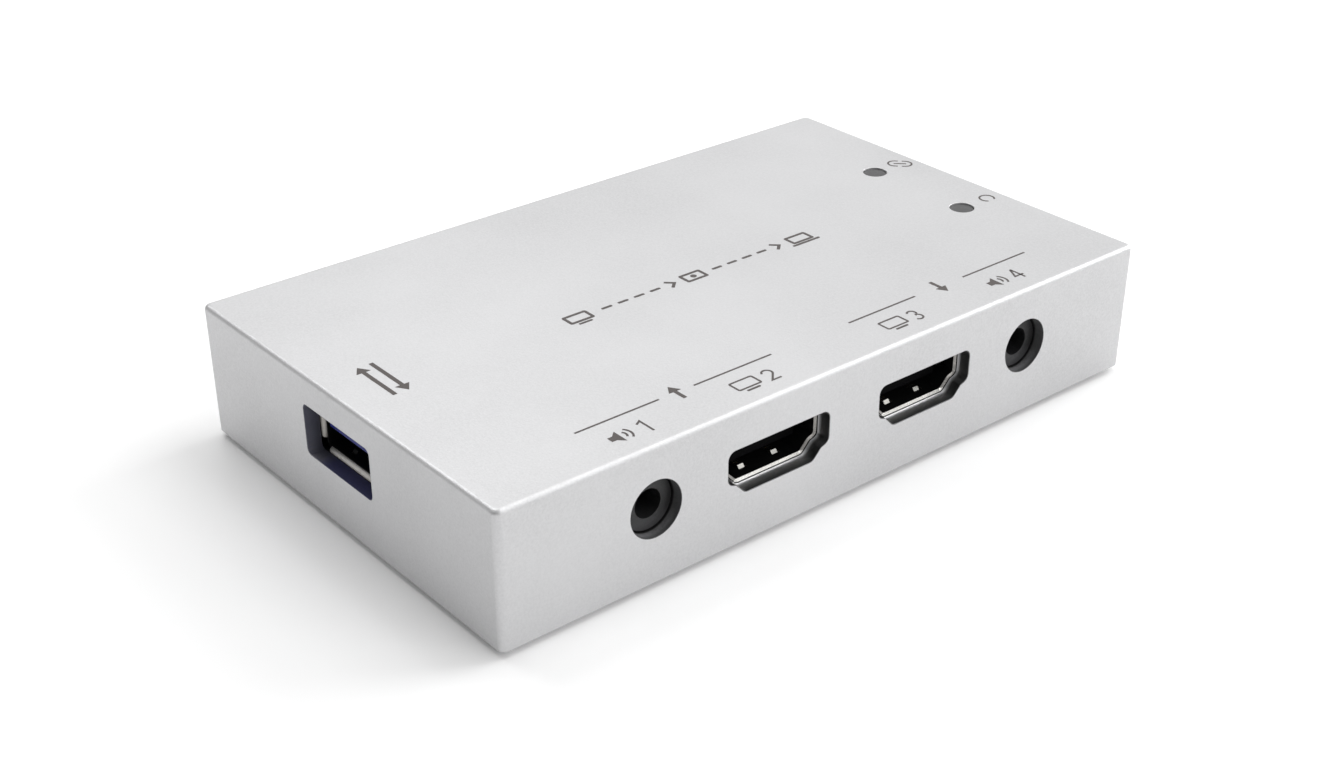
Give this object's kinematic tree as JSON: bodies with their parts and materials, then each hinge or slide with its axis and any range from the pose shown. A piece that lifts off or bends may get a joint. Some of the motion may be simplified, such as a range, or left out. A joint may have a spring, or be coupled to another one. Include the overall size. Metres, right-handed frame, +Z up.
{
  "type": "video capture box",
  "caption": "Flat silver metal box that takes a video and an audio signal in, passes them on through matching sockets and sends the picture to a computer through a data socket.",
  "frame": {"origin": "on the surface that the feet stand on, under the middle of the case", "axes": "+X along the front face with the data socket at the -X end, -Y out of the front face, +Z up"},
  "size_m": [0.1, 0.0612, 0.0181],
  "materials": {
    "case_metal": "bead-blasted, clear anodised",
    "cover_metal": "bead-blasted, clear anodised",
    "screw_steel": "zinc plated",
    "foot_rubber": "moulded",
    "film": "polyester film",
    "board_laminate": "green solder mask",
    "shell_nickel": "nickel plated",
    "black_plastic": "moulded, fine satin",
    "blue_plastic": "moulded",
    "contact_gold": "gold plated",
    "contact_bronze": "nickel plated spring bronze",
    "light_window": "smoked, polished",
    "lamp_white": "moulded",
    "chip_black": "moulded epoxy",
    "pad_grey": "silicone",
    "sink_black": "black anodised",
    "can_steel": "drawn can",
    "ferrite": "pressed",
    "can_aluminium": "drawn can",
    "ceramic_tan": "fired",
    "fuse_green": "coated"
  },
  "bodies": {
    "box": {"upper_case": "case_metal", "bottom_cover": "cover_metal", "cover_screws": "screw_steel", "rubber_feet": "foot_rubber", "insulating_sheet": "film", "main_board": "board_laminate", "video_in_shell": "shell_nickel", "video_in_insulator": "black_plastic", "video_in_contacts": "contact_gold", "video_out_shell": "shell_nickel", "video_out_insulator": "black_plastic", "video_out_contacts": "contact_gold", "audio_in_body": "black_plastic", "audio_in_sleeve_contact": "contact_bronze", "audio_out_body": "black_plastic", "audio_out_sleeve_contact": "contact_bronze", "data_shell": "shell_nickel", "data_insulator": "blue_plastic", "data_fixed_contacts": "contact_gold", "link_light_pipe": "light_window", "record_light_pipe": "light_window", "indicator_lamps": "lamp_white", "capture_processor": "chip_black", "thermal_pad": "pad_grey", "heat_sink": "sink_black", "video_receiver": "chip_black", "video_driver": "chip_black", "data_bridge": "chip_black", "memory_chips": "chip_black", "program_memory": "chip_black", "audio_converters": "chip_black", "crystals": "can_steel", "power_inductors": "ferrite", "storage_capacitors": "can_aluminium", "voltage_regulators": "chip_black", "surge_guards": "chip_black", "resettable_fuse": "fuse_green", "ceramic_capacitors": "ceramic_tan", "resistors": "chip_black"},
    "audio_in_tip": {"audio_in_tip_contact": "contact_bronze"},
    "audio_in_ring": {"audio_in_ring_contact": "contact_bronze"},
    "audio_out_tip": {"audio_out_tip_contact": "contact_bronze"},
    "audio_out_ring": {"audio_out_ring_contact": "contact_bronze"},
    "data_springs": {"data_spring_contacts": "contact_bronze"}
  },
  "joints": [
    {"name": "audio_in_tip_flex", "type": "hinge", "parent": "box", "child": "audio_in_tip", "pos_m": [-0.0268, -0.0239, 0.01025], "axis": [0, 0, -1], "range_deg": [0, 5], "stiffness_Nm_per_rad": 0.1},
    {"name": "audio_in_ring_flex", "type": "hinge", "parent": "box", "child": "audio_in_ring", "pos_m": [-0.032, -0.0161, 0.01025], "axis": [0, 0, -1], "range_deg": [0, 5], "stiffness_Nm_per_rad": 0.1},
    {"name": "audio_out_tip_flex", "type": "hinge", "parent": "box", "child": "audio_out_tip", "pos_m": [0.0324, -0.0239, 0.01025], "axis": [0, 0, -1], "range_deg": [0, 5], "stiffness_Nm_per_rad": 0.1},
    {"name": "audio_out_ring_flex", "type": "hinge", "parent": "box", "child": "audio_out_ring", "pos_m": [0.0272, -0.0161, 0.01025], "axis": [0, 0, -1], "range_deg": [0, 5], "stiffness_Nm_per_rad": 0.1},
    {"name": "data_contact_flex", "type": "hinge", "parent": "box", "child": "data_springs", "pos_m": [-0.03905, 0.0004, 0.01127], "axis": [0, 1, 0], "range_deg": [0, 5], "stiffness_Nm_per_rad": 0.19}
  ]
}
